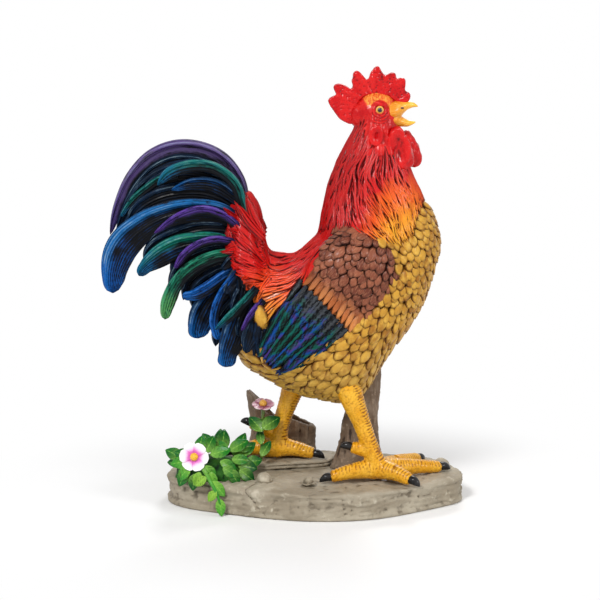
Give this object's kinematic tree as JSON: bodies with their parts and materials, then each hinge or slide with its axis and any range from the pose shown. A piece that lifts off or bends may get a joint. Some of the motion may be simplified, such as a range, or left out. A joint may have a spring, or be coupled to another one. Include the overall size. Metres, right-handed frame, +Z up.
{
  "type": "rooster figure",
  "caption": "Standing rooster ornament with an open beak and a curled tail, on an oval rock base with a tree trunk, a hollow stump, leaves and flowers.",
  "frame": {"origin": "centre of the base's flat underside", "axes": "+Z up, +X towards the beak, -Y towards the bird's right side"},
  "size_m": [0.2909, 0.135, 0.3491],
  "materials": {
    "rock": "painted and dry-brushed resin",
    "bark": "painted and dry-brushed resin",
    "steel": "plain",
    "breast_gold": "varnished paint",
    "hackle_red": "varnished paint, red to yellow",
    "face_red": "varnished paint",
    "beak_yellow": "varnished paint",
    "eye_paint": "high gloss",
    "covert_brown": "varnished paint",
    "wing_dark": "varnished paint, dry-brushed",
    "saddle_red": "varnished paint, red to gold",
    "tail_purple": "varnished paint, dry-brushed",
    "tail_blue": "varnished paint, dry-brushed",
    "tail_green": "varnished paint, dry-brushed",
    "tail_black": "varnished paint",
    "leg_yellow": "varnished paint",
    "claw_black": "high gloss",
    "leaf_green": "varnished paint",
    "petal_white": "varnished paint",
    "petal_mauve": "varnished paint",
    "flower_yellow": "varnished paint"
  },
  "bodies": {
    "root": {"base_stones": "rock", "comb": "face_red", "eyes": "eye_paint", "foot_ledge": "rock", "front_flower_centre": "flower_yellow", "front_flower_petals": "petal_white", "front_leaves": "leaf_green", "head": "face_red", "hollow_stump": "bark", "left_claws": "claw_black", "left_dark_lobe_feather": "tail_blue", "left_ear_lobe": "face_red", "left_great_sickle": "tail_blue", "left_inner_teal_feather": "tail_green", "left_leg_rod": "steel", "left_low_green_feather": "tail_green", "left_lowest_lobe_feather": "tail_blue", "left_middle_green_feather": "tail_green", "left_saddle": "saddle_red", "left_shank": "leg_yellow", "left_toes": "leg_yellow", "left_wattle": "face_red", "left_wing_coverts": "covert_brown", "left_wing_feathers": "wing_dark", "lower_beak": "beak_yellow", "neck": "hackle_red", "rear_flower_centre": "flower_yellow", "rear_flower_petals": "petal_mauve", "right_bright_blue_feather": "tail_blue", "right_claws": "claw_black", "right_dark_lobe_feather": "tail_blue", "right_ear_lobe": "face_red", "right_great_sickle": "tail_blue", "right_inner_blue_feather": "tail_blue", "right_inner_teal_feather": "tail_green", "right_leg_rod": "steel", "right_low_green_feather": "tail_green", "right_lowest_lobe_feather": "tail_blue", "right_middle_green_feather": "tail_green", "right_middle_purple_feather": "tail_purple", "right_saddle": "saddle_red", "right_shank": "leg_yellow", "right_short_blue_feather": "tail_blue", "right_short_purple_feather": "tail_purple", "right_slim_green_feather": "tail_green", "right_small_purple_feather": "tail_purple", "right_teal_green_feather": "tail_green", "right_toes": "leg_yellow", "right_wattle": "face_red", "right_wing_coverts": "covert_brown", "right_wing_feathers": "wing_dark", "rock_base": "rock", "tail_core": "tail_black", "tail_dowel": "steel", "tail_root": "saddle_red", "top_sickle": "tail_purple", "torso": "breast_gold", "tree_trunk": "bark", "upper_beak": "beak_yellow", "vine": "leaf_green"}
  },
  "joints": []
}
